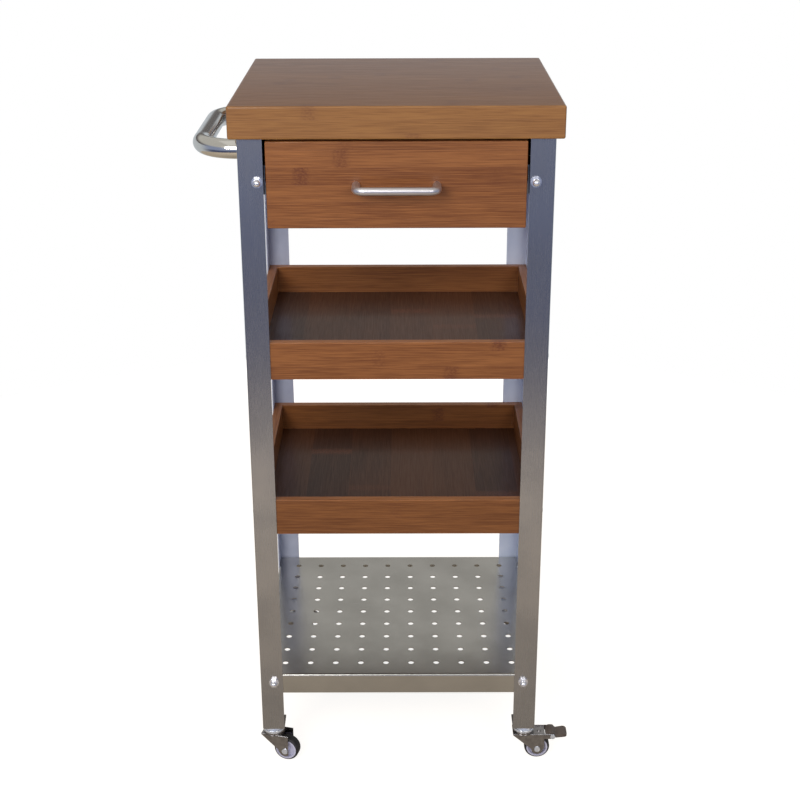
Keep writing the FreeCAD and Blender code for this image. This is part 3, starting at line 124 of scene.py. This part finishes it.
def make_bamboo_group():
    """Glued bamboo. Strips run along X; each is a bar of its own tone, Strip Width across and Strip Depth thick,
    with long fibres, a fuzzy dark mark at every culm knot and a thin glue line on each side."""
    tree, given, result = new_group(
        "bamboo_strips",
        {
            "Vector": "vector",
            "Strip Width": "number",
            "Strip Depth": "number",
            "Pale": "colour",
            "Dark": "colour",
            "Knot": "colour",
            "Strip Contrast": "number",
            "Fibre Contrast": "number",
            "Knot Spacing": "number",
            "Knot Strength": "number",
        },
        {"Color": "colour", "Fibre": "number", "Height": "number"},
    )
    place = add(tree, "ShaderNodeSeparateXYZ", {0: given["Vector"]}).outputs
    across = calc(tree, "DIVIDE", place[1], given["Strip Width"])
    through = calc(tree, "DIVIDE", place[2], given["Strip Depth"])
    row = calc(tree, "FLOOR", across)
    layer = calc(tree, "FLOOR", through)
    strip = add(tree, "ShaderNodeCombineXYZ", {0: row, 1: layer}).outputs[0]
    chance = add(tree, "ShaderNodeTexWhiteNoise", {"Vector": strip}, noise_dimensions="3D")
    draws = add(tree, "ShaderNodeSeparateColor", {0: chance.outputs["Color"]}).outputs

    shift = add(tree, "ShaderNodeCombineXYZ", {0: calc(tree, "MULTIPLY", draws[0], 3.0)}).outputs[0]
    along = vector_calc(tree, "ADD", given["Vector"], shift)
    fine = noise(tree, vector_calc(tree, "MULTIPLY", along, FINE_FIBRE), roughness=0.6)
    coarse = noise(tree, vector_calc(tree, "MULTIPLY", along, COARSE_FIBRE), roughness=0.7)
    slow = noise(tree, vector_calc(tree, "MULTIPLY", along, SLOW_TONE))
    crisp = calc(tree, "MULTIPLY", fade(tree, fine, 0.3, 0.7), FINE_SHARE)
    fibre = calc(tree, "ADD", crisp, calc(tree, "MULTIPLY", fade(tree, coarse, 0.3, 0.7), 1.0 - FINE_SHARE))

    spacings = calc(tree, "DIVIDE", place[0], given["Knot Spacing"])
    step = calc(tree, "ADD", spacings, calc(tree, "MULTIPLY", draws[1], 7.0))
    wander = calc(tree, "MULTIPLY_ADD", noise(tree, along, KNOT_WANDER), 0.012, -0.006)
    off = calc(tree, "SUBTRACT", calc(tree, "FRACT", step), 0.5)
    off = calc(tree, "ADD", calc(tree, "MULTIPLY", off, given["Knot Spacing"]), wander)
    which = add(tree, "ShaderNodeCombineXYZ", {0: calc(tree, "FLOOR", step), 1: row, 2: layer}).outputs[0]
    strength = add(tree, "ShaderNodeTexWhiteNoise", {"Vector": which}, noise_dimensions="3D").outputs["Value"]
    distance = calc(tree, "ABSOLUTE", off)
    halo = fade(tree, distance, KNOT_REACH, KNOT_CORE)
    speck = fade(tree, noise(tree, vector_calc(tree, "MULTIPLY", along, KNOT_DASH)), 0.40, 0.60)
    patch = calc(tree, "MULTIPLY", halo, calc(tree, "MULTIPLY_ADD", speck, 0.75, 0.25))
    ring = calc(tree, "MULTIPLY", fade(tree, distance, RING_EDGE, RING_CORE), 0.5)
    knot = calc(tree, "MULTIPLY", calc(tree, "MAXIMUM", patch, ring), fade(tree, strength, 0.25, 0.95))
    knot = calc(tree, "MULTIPLY", knot, given["Knot Strength"])

    own_tone = calc(tree, "MULTIPLY", calc(tree, "SUBTRACT", draws[2], 0.5), given["Strip Contrast"])
    grain = calc(tree, "MULTIPLY", calc(tree, "SUBTRACT", fibre, 0.5), given["Fibre Contrast"])
    tone = calc(tree, "ADD", calc(tree, "ADD", own_tone, grain), calc(tree, "MULTIPLY_ADD", slow, 0.55, 0.22))
    body = mixed(tree, fade(tree, tone, 0.0, 1.0), given["Pale"], given["Dark"])
    body = mixed(tree, knot, body, given["Knot"])

    def seam(cells, width):
        """How near a point is to the glue between two strips."""
        middle = calc(tree, "ABSOLUTE", calc(tree, "SUBTRACT", calc(tree, "FRACT", cells), 0.5))
        away = calc(tree, "MULTIPLY", calc(tree, "SUBTRACT", 0.5, middle), width)
        return fade(tree, away, GLUE_EDGE, GLUE_CORE)

    glue = calc(tree, "MAXIMUM", seam(across, given["Strip Width"]), seam(through, given["Strip Depth"]))
    body = mixed(tree, calc(tree, "MULTIPLY", glue, 0.3), body, given["Knot"])
    feed(tree, result.inputs["Color"], body)
    feed(tree, result.inputs["Fibre"], fibre)
    feed(tree, result.inputs["Height"], calc(tree, "SUBTRACT", fibre, calc(tree, "MULTIPLY", glue, 0.6)))
    return tree


# Cells of noise to a metre: scratches across, across and along the brushing, and flow marks.
SCRATCH = (1700.0, 1700.0, 14.0)
FLOW_MARK = 110.0


def make_brushed_group():
    """Rolled and brushed sheet. Fine scratches run along Z, over slow clouds in tone and gloss."""
    tree, given, result = new_group(
        "brushed_sheet",
        {
            "Vector": "vector",
            "Metal": "colour",
            "Shade": "colour",
            "Cloud Size": "number",
            "Brush Contrast": "number",
            "Gloss": "number",
            "Gloss Spread": "number",
        },
        {"Color": "colour", "Roughness": "number", "Height": "number"},
    )
    stretched = vector_calc(tree, "MULTIPLY", given["Vector"], SCRATCH)
    scratch = noise(tree, stretched, detail=3.0, roughness=0.7)
    cloud = noise(tree, given["Vector"], calc(tree, "DIVIDE", 1.0, given["Cloud Size"]), detail=3.0)
    tone = calc(tree, "MULTIPLY", calc(tree, "SUBTRACT", scratch, 0.5), given["Brush Contrast"])
    tone = calc(tree, "ADD", tone, fade(tree, cloud, 0.25, 0.75))
    feed(tree, result.inputs["Color"], mixed(tree, tone, given["Metal"], given["Shade"]))
    spread = calc(tree, "SUBTRACT", calc(tree, "ADD", cloud, scratch), 1.0)
    rough = calc(tree, "MULTIPLY_ADD", spread, given["Gloss Spread"], given["Gloss"])
    feed(tree, result.inputs["Roughness"], rough)
    feed(tree, result.inputs["Height"], scratch)
    return tree


def make_moulded_group():
    """Moulded plastic or rubber: a fine pebbled skin and slow flow marks."""
    tree, given, result = new_group(
        "moulded_skin",
        {"Vector": "vector", "Body": "colour", "Flow": "colour", "Pebble Size": "number", "Gloss": "number"},
        {"Color": "colour", "Roughness": "number", "Height": "number"},
    )
    pebble = noise(tree, given["Vector"], calc(tree, "DIVIDE", 1.0, given["Pebble Size"]), detail=1.0)
    flow = noise(tree, given["Vector"], FLOW_MARK, detail=3.0)
    feed(tree, result.inputs["Color"], mixed(tree, fade(tree, flow, 0.3, 0.7), given["Body"], given["Flow"]))
    rough = calc(tree, "MULTIPLY_ADD", calc(tree, "ADD", pebble, flow), 0.12, -0.12)
    feed(tree, result.inputs["Roughness"], calc(tree, "ADD", given["Gloss"], rough))
    feed(tree, result.inputs["Height"], pebble)
    return tree


bamboo_strips = make_bamboo_group()
brushed_sheet = make_brushed_group()
moulded_skin = make_moulded_group()


# ---------------------------------------------------------------- materials


def new_material(name):
    """An empty material. Returns it with its tree and its Principled shader."""
    material = bpy.data.materials.new(name)
    material.use_nodes = True
    tree = material.node_tree
    tree.nodes.clear()
    shader = tree.nodes.new("ShaderNodeBsdfPrincipled")
    output = tree.nodes.new("ShaderNodeOutputMaterial")
    tree.links.new(shader.outputs[0], output.inputs["Surface"])
    return material, tree, shader


def coordinates(tree, turn=(0, 0, 0), shift=(0, 0, 0)):
    """Object coordinates, moved and then turned in degrees."""
    place = tree.nodes.new("ShaderNodeTexCoord").outputs["Object"]
    moved = vector_calc(tree, "ADD", place, shift)
    angles = tuple(math.radians(angle) for angle in turn)
    return add(tree, "ShaderNodeMapping", {"Vector": moved, "Rotation": angles}).outputs[0]


def use_group(tree, group, **values):
    """Place a group in a material. Underscores in the keywords stand for the spaces in its inputs' names."""
    node = tree.nodes.new("ShaderNodeGroup")
    node.node_tree = group
    for key, value in values.items():
        feed(tree, node.inputs[key.replace("_", " ")], value)
    return node.outputs


def bump(tree, shader, height, depth, strength=1.0):
    """Let a height drive the shader's normal; depth is the height's real size."""
    inputs = {"Height": height, "Distance": depth, "Strength": strength}
    feed(tree, shader.inputs["Normal"], add(tree, "ShaderNodeBump", inputs).outputs[0])


ALONG_X = (0, 0, 0)
ALONG_Y = (0, 0, 90)
STRIP_WIDE = 0.02
STRIP_THICK = 0.021
FLOOR_STRIP_THICK = 0.02
WOOD_GRAIN_DEPTH = 0.00012


def bamboo(
    name,
    grain,
    pale,
    dark,
    width=STRIP_WIDE,
    depth=STRIP_THICK,
    shift=(0, 0, 0),
    lacquer=(0.12, 0.3, 0.2),
    painted_top_light=1.0,
    **contrast,
):
    """A lacquered bamboo board. grain turns the strips, in degrees, and shift moves them; lacquer is the coat's
    weight, the wood's own roughness and the coat's; painted_top_light is how much paler the faces that look
    upward are painted, a painted highlight of the light from above on the boards' upper edges."""
    material, tree, shader = new_material(name)
    values = {"Strip_Contrast": 0.25, "Fibre_Contrast": 0.65, "Knot_Spacing": 0.23, "Knot_Strength": 0.9, **contrast}
    strips = use_group(
        tree,
        bamboo_strips,
        Vector=coordinates(tree, grain, shift),
        Strip_Width=width,
        Strip_Depth=depth,
        Pale=rgba(pale),
        Dark=rgba(dark),
        Knot=rgba(KNOT_BROWN),
        **values,
    )
    coat, gloss, coat_gloss = lacquer
    colour = strips["Color"]
    # Painted highlight: faces that look upward, the boards' upper edges, are painted paler in place of the light from
    # above.
    if painted_top_light > 1.0:
        upward = tree.nodes.new("ShaderNodeTexCoord").outputs["Normal"]
        upward = fade(tree, add(tree, "ShaderNodeSeparateXYZ", {0: upward}).outputs[2], 0.3, 0.8)
        top_highlight_colour = mixed(tree, 1.0, colour, rgba((painted_top_light, painted_top_light * 1.05, painted_top_light * 1.15)), "MULTIPLY")
        colour = mixed(tree, upward, colour, top_highlight_colour)
    feed(tree, shader.inputs["Base Color"], colour)
    feed(tree, shader.inputs["Roughness"], calc(tree, "MULTIPLY_ADD", strips["Fibre"], 0.15, gloss))
    bump(tree, shader, strips["Height"], WOOD_GRAIN_DEPTH, 0.5)
    shader.inputs["Specular IOR Level"].default_value = 0.3
    shader.inputs["Coat Weight"].default_value = coat
    shader.inputs["Coat Roughness"].default_value = coat_gloss
    return material


def metal(name, colour, shade, gloss, turn=(0, 0, 0), spread=0.10, cloud=0.07, brush=0.07, depth=0.000002, pure=1.0):
    """A steel or plated finish. turn lays the brushing along another axis than Z; pure is how metallic it is."""
    material, tree, shader = new_material(name)
    sheet = use_group(
        tree,
        brushed_sheet,
        Vector=coordinates(tree, turn),
        Metal=rgba(colour),
        Shade=rgba(shade),
        Cloud_Size=cloud,
        Brush_Contrast=brush,
        Gloss=gloss,
        Gloss_Spread=spread,
    )
    feed(tree, shader.inputs["Base Color"], sheet["Color"])
    feed(tree, shader.inputs["Roughness"], sheet["Roughness"])
    shader.inputs["Metallic"].default_value = pure
    bump(tree, shader, sheet["Height"], depth, 0.4)
    return material


def moulded(name, body, flow, gloss, pebble, depth):
    """A moulded plastic or rubber."""
    material, tree, shader = new_material(name)
    skin = use_group(
        tree, moulded_skin, Vector=coordinates(tree), Body=rgba(body), Flow=rgba(flow), Pebble_Size=pebble, Gloss=gloss
    )
    feed(tree, shader.inputs["Base Color"], skin["Color"])
    feed(tree, shader.inputs["Roughness"], skin["Roughness"])
    bump(tree, shader, skin["Height"], depth, 0.6)
    return material


KNOT_BROWN = (0.13, 0.038, 0.016)
CARAMEL_PALE = (0.33, 0.129, 0.041)
CARAMEL_DARK = (0.143, 0.044, 0.013)
# Painted shade: the lower tray's boards are the caramel bamboo painted darker, for the shade low under the trays
# above.
LOW_TRAY_SHADED_PALE = (0.26, 0.098, 0.029)
LOW_TRAY_SHADED_DARK = (0.112, 0.034, 0.009)
GOLD_PALE = (0.33, 0.150, 0.041)
GOLD_DARK = (0.165, 0.059, 0.013)
# Painted shade: the tray floors are the same bamboo painted far darker, for the shade under the worktop and the upper
# tray; the lower floor is painted darker still.
SHADED_PALE = (0.098, 0.033, 0.013)
SHADED_DARK = (0.036, 0.010, 0.005)
LOW_FLOOR_SHADED_PALE = (0.085, 0.027, 0.008)
LOW_FLOOR_SHADED_DARK = (0.032, 0.008, 0.003)
BOX_PALE = (0.46, 0.27, 0.13)
BOX_DARK = (0.32, 0.16, 0.07)

TOP_STRIP_WIDE = 0.022
TOP_STRIP_THICK = 0.016
TOP_FIRST_GLUE = 0.009
top_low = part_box("top_board")[0].z
top_bamboo = bamboo(
    "top_bamboo",
    ALONG_X,
    GOLD_PALE,
    GOLD_DARK,
    TOP_STRIP_WIDE,
    TOP_STRIP_THICK,
    shift=(0, 0, TOP_FIRST_GLUE - top_low),
    lacquer=(0.5, 0.4, 0.1),
    Knot_Strength=0.5,
)
# The upper edges of these boards carry a painted highlight, paler on the upward faces.
board_bamboo = bamboo("board_bamboo", ALONG_X, CARAMEL_PALE, CARAMEL_DARK, painted_top_light=1.5)
side_bamboo = bamboo("side_bamboo", ALONG_Y, CARAMEL_PALE, CARAMEL_DARK, painted_top_light=1.3)
# Painted shade: the lower tray's boards wear a darker copy of the board bamboo.
low_tray_shaded_bamboo = bamboo("low_tray_shaded_bamboo", ALONG_X, LOW_TRAY_SHADED_PALE, LOW_TRAY_SHADED_DARK, painted_top_light=1.6)
low_tray_shaded_side_bamboo = bamboo("low_tray_shaded_side_bamboo", ALONG_Y, LOW_TRAY_SHADED_PALE, LOW_TRAY_SHADED_DARK, painted_top_light=1.3)
FLOOR_SHEET = {"width": 0.058, "depth": FLOOR_STRIP_THICK, "Strip_Contrast": 0.8, "Fibre_Contrast": 0.4}
floor_bamboo = bamboo(
    "floor_bamboo", ALONG_Y, SHADED_PALE, SHADED_DARK, lacquer=(0.34, 0.35, 0.14), **FLOOR_SHEET
)
# Painted shade: the lower tray's floor is painted darker than the upper one.
low_tray_shaded_floor_bamboo = bamboo(
    "low_tray_shaded_floor_bamboo", ALONG_Y, LOW_FLOOR_SHADED_PALE, LOW_FLOOR_SHADED_DARK, lacquer=(0.2, 0.4, 0.16), **FLOOR_SHEET
)
box_bamboo = bamboo("drawer_box_bamboo", ALONG_Y, BOX_PALE, BOX_DARK)

# Steel and plating: the metal's tone, its shade, and how rough it is.
LIE_ALONG_Y = (90, 0, 0)
LIE_ALONG_X = (0, 90, 0)
leg_steel = metal("leg_steel", (0.46, 0.46, 0.48), (0.38, 0.38, 0.40), 0.27)
# Painted light and shade: both rear legs have one mill finish, painted paler on the right leg where light reaches it
# and darker on the left leg as painted shade.
mill_steel = metal("mill_steel", (0.80, 0.86, 1.00), (0.72, 0.79, 0.95), 0.6, cloud=0.03, pure=0.25)
shaded_rear_steel = metal("shaded_rear_steel", (0.50, 0.53, 0.65), (0.42, 0.45, 0.57), 0.6, cloud=0.03, pure=0.25)
rail_steel = metal("rail_steel", (0.50, 0.51, 0.54), (0.40, 0.41, 0.44), 0.36, LIE_ALONG_Y)
shelf_steel = metal("shelf_steel", (0.56, 0.55, 0.53), (0.48, 0.47, 0.45), 0.24, LIE_ALONG_X)
handle_steel = metal("handle_steel", (0.80, 0.78, 0.73), (0.68, 0.66, 0.62), 0.14, LIE_ALONG_Y, 0.05)
pull_steel = metal("pull_steel", (0.68, 0.66, 0.68), (0.56, 0.54, 0.56), 0.38, LIE_ALONG_X, 0.08, pure=0.95)
nut_nickel = metal("nut_nickel", (0.88, 0.88, 0.92), (0.72, 0.73, 0.79), 0.18, spread=0.05, cloud=0.004, pure=0.85)
slide_zinc = metal("slide_zinc", (0.58, 0.59, 0.60), (0.46, 0.47, 0.49), 0.34, LIE_ALONG_Y, cloud=0.02)
caster_zinc = metal("caster_zinc", (0.38, 0.37, 0.38), (0.27, 0.26, 0.27), 0.2, cloud=0.006, brush=0.3)
# Painted highlight: the races, stems and axle heads are the caster plating painted far paler and bluer, in place of
# the bright rings of light on them.
highlit_race_zinc = metal("highlit_race_zinc", (0.88, 0.92, 1.00), (0.66, 0.71, 0.82), 0.18, cloud=0.003, pure=0.65)
screw_zinc = metal("screw_zinc", (0.66, 0.67, 0.68), (0.50, 0.51, 0.53), 0.26, cloud=0.003, brush=0.2)
hub_plastic = moulded("hub_plastic", (0.62, 0.62, 0.78), (0.54, 0.54, 0.70), 0.42, 0.0008, 0.00004)
tyre_rubber = moulded("tyre_rubber", (0.012, 0.012, 0.015), (0.024, 0.023, 0.025), 0.6, 0.0006, 0.00006)
pedal_plastic = moulded("pedal_plastic", (0.085, 0.066, 0.058), (0.12, 0.095, 0.082), 0.45, 0.0005, 0.00005)

SLOT_MATERIALS = {
    "bamboo_top": top_bamboo,
    "bamboo_board": board_bamboo,
    "bamboo_floor": floor_bamboo,
    "bamboo_drawer_box": box_bamboo,
    "leg_steel": leg_steel,
    "rail_steel": rail_steel,
    "shelf_steel": shelf_steel,
    "handle_steel": handle_steel,
    "pull_steel": pull_steel,
    "nut_plating": nut_nickel,
    "slide_zinc": slide_zinc,
    "caster_zinc": caster_zinc,
    "fastener_zinc": screw_zinc,
    "hub_plastic": hub_plastic,
    "tyre_rubber": tyre_rubber,
    "pedal_plastic": pedal_plastic,
}
# Pieces that differ from the others of their slot.
NODE_MATERIALS = {
    "upper_tray_left": side_bamboo,
    "upper_tray_right": side_bamboo,
    "lower_tray_front": low_tray_shaded_bamboo,
    "lower_tray_back": low_tray_shaded_bamboo,
    "lower_tray_left": low_tray_shaded_side_bamboo,
    "lower_tray_right": low_tray_shaded_side_bamboo,
    "lower_tray_floor": low_tray_shaded_floor_bamboo,
    # The left rear leg gets the copy painted darker: painted shade.
    "leg_rear_left": shaded_rear_steel,
    "leg_rear_right": mill_steel,
    # These pieces get the plating painted paler: a painted highlight.
    "caster_stems": highlit_race_zinc,
    "caster_axle_front_left": highlit_race_zinc,
    "caster_axle_front_right": highlit_race_zinc,
    "caster_axle_rear_left": highlit_race_zinc,
    "caster_axle_rear_right": highlit_race_zinc,
}

for part in frame["record"]["subparts"]:
    obj = frame["nodes"][part["node"]]
    obj.data.materials.clear()
    obj.data.materials.append(NODE_MATERIALS.get(part["node"], SLOT_MATERIALS[part["material_slot"]]))


# ---------------------------------------------------------------- studio


def disc_mesh(name, radius, rings, spokes):
    """A flat disc. A point is at x = r cos t, y = r sin t, z = 0; r runs over the rings from radius / rings to
    radius and t over the spokes, evenly round the circle, and one more point stands in the middle."""
    turn, ring = np.meshgrid(2 * np.pi * np.arange(spokes) / spokes, radius * (np.arange(rings) + 1) / rings)
    points = np.stack([ring * np.cos(turn), ring * np.sin(turn), 0 * ring], axis=-1).reshape(-1, 3)
    index = np.arange(rings * spokes).reshape(rings, spokes)
    after = np.roll(index, -1, axis=1)
    middle = np.full(spokes, rings * spokes)
    fan = np.stack([middle, index[0], after[0]], axis=-1)
    bands = np.stack([index[:-1], index[1:], after[1:], after[:-1]], axis=-1).reshape(-1, 4)
    mesh = bpy.data.meshes.new(name)
    mesh.from_pydata(np.vstack([points, np.zeros((1, 3))]), [], fan.tolist() + bands.tolist())
    return mesh


def make_floor():
    """A round pale floor. What the camera sees of it glows, so that it stays pale under the cart and meets the
    white surround; what the metal and the boards see of it is dimmer and warm."""
    radius = 1.5
    mesh = disc_mesh("studio_floor", radius, rings=24, spokes=96)
    floor = bpy.data.objects.new("studio_floor", mesh)
    bpy.context.scene.collection.objects.link(floor)
    material, tree, shader = new_material("pale_floor")
    place = tree.nodes.new("ShaderNodeTexCoord").outputs["Object"]
    distance = add(tree, "ShaderNodeVectorMath", {0: place}, operation="LENGTH").outputs["Value"]
    seen_glow = fade(tree, distance, 0.7 * radius, radius, 0.85, 1.1)
    lit_glow = fade(tree, distance, 0.2, 1.1, 0.04, 0.19)
    seen = tree.nodes.new("ShaderNodeLightPath").outputs["Is Camera Ray"]
    shader.inputs["Base Color"].default_value = rgba((0.42, 0.37, 0.31))
    shader.inputs["Roughness"].default_value = 0.9
    feed(tree, shader.inputs["Emission Color"], mixed(tree, seen, rgba((1.0, 0.80, 0.58)), rgba((1.0, 1.0, 1.0))))
    strength = add(tree, "ShaderNodeMix", {0: seen, 2: lit_glow, 3: seen_glow}).outputs[0]
    feed(tree, shader.inputs["Emission Strength"], strength)
    mesh.materials.append(material)


def make_surround():
    """A white room as the camera sees it. In reflections it is dim and blue in front and below, and bluer and
    brighter towards the horizon; behind, a pale band at the horizon lies under a dark one, and a pale ceiling is
    over both."""
    world = bpy.data.worlds.new("studio_surround")
    world.use_nodes = True
    tree = world.node_tree
    tree.nodes.clear()
    toward = tree.nodes.new("ShaderNodeTexCoord").outputs["Generated"]
    parts = add(tree, "ShaderNodeSeparateXYZ", {0: toward}).outputs
    front = fade(tree, parts[1], 0.35, -0.35)
    band = mixed(tree, fade(tree, parts[2], 0.14, 0.19), rgba((0.54, 0.58, 0.62)), rgba((0.10, 0.09, 0.09)))
    ahead = mixed(tree, fade(tree, parts[2], -0.29, -0.20), rgba((0.07, 0.085, 0.16)), rgba((0.27, 0.32, 0.48)))
    sides = mixed(tree, front, band, ahead)
    sky = mixed(tree, fade(tree, parts[2], 0.22, 0.42), sides, rgba((0.52, 0.51, 0.48)))
    seen = tree.nodes.new("ShaderNodeLightPath").outputs["Is Camera Ray"]
    colour = mixed(tree, seen, sky, rgba((1.0, 1.0, 1.0)))
    background = add(tree, "ShaderNodeBackground", {"Color": colour, "Strength": 1.0})
    output = tree.nodes.new("ShaderNodeOutputWorld")
    tree.links.new(background.outputs[0], output.inputs["Surface"])
    bpy.context.scene.world = world


def soft_box(name, place, target, width, height, power, colour=(1.0, 1.0, 1.0)):
    """A rectangular softbox that faces a point."""
    light = bpy.data.lights.new(name, "AREA")
    light.shape = "RECTANGLE"
    light.size = width
    light.size_y = height
    light.energy = power
    light.color = colour
    lamp = bpy.data.objects.new(name, light)
    bpy.context.scene.collection.objects.link(lamp)
    lamp.location = place
    lamp.rotation_mode = "QUATERNION"
    lamp.rotation_quaternion = (Vector(target) - Vector(place)).to_track_quat("-Z", "Y")


def make_camera():
    """The camera stands 1.7 m in front of the legs, a little above the worktop, and looks down."""
    yaw, down, roll = (math.radians(angle) for angle in (-0.15, 22.0, -0.187))
    data = bpy.data.cameras.new("camera")
    data.lens = 64.77
    data.sensor_width = 36.0
    camera = bpy.data.objects.new("camera", data)
    bpy.context.scene.collection.objects.link(camera)
    camera.location = (0.01745, -1.83565, 1.2219)
    camera.rotation_mode = "QUATERNION"
    across = Quaternion((1, 0, 0), math.pi / 2 - down)
    camera.rotation_quaternion = Quaternion((0, 0, 1), -yaw) @ across @ Quaternion((0, 0, 1), roll)
    bpy.context.scene.camera = camera


make_floor()
make_surround()
soft_box("overhead_box", (0.0, -0.3, 2.6), (0.0, 0.0, 0.5), 2.2, 2.2, 3.0)
soft_box("left_box", (-0.8, -1.9, 1.6), (0.0, 0.0, 0.9), 1.0, 0.9, 27.0, (1.0, 0.97, 0.92))
soft_box("right_box", (0.9, -2.0, 1.5), (0.0, 0.0, 0.9), 0.9, 0.9, 10.0, (1.0, 0.98, 0.95))
bpy.context.scene.view_settings.view_transform = "Standard"
make_camera()
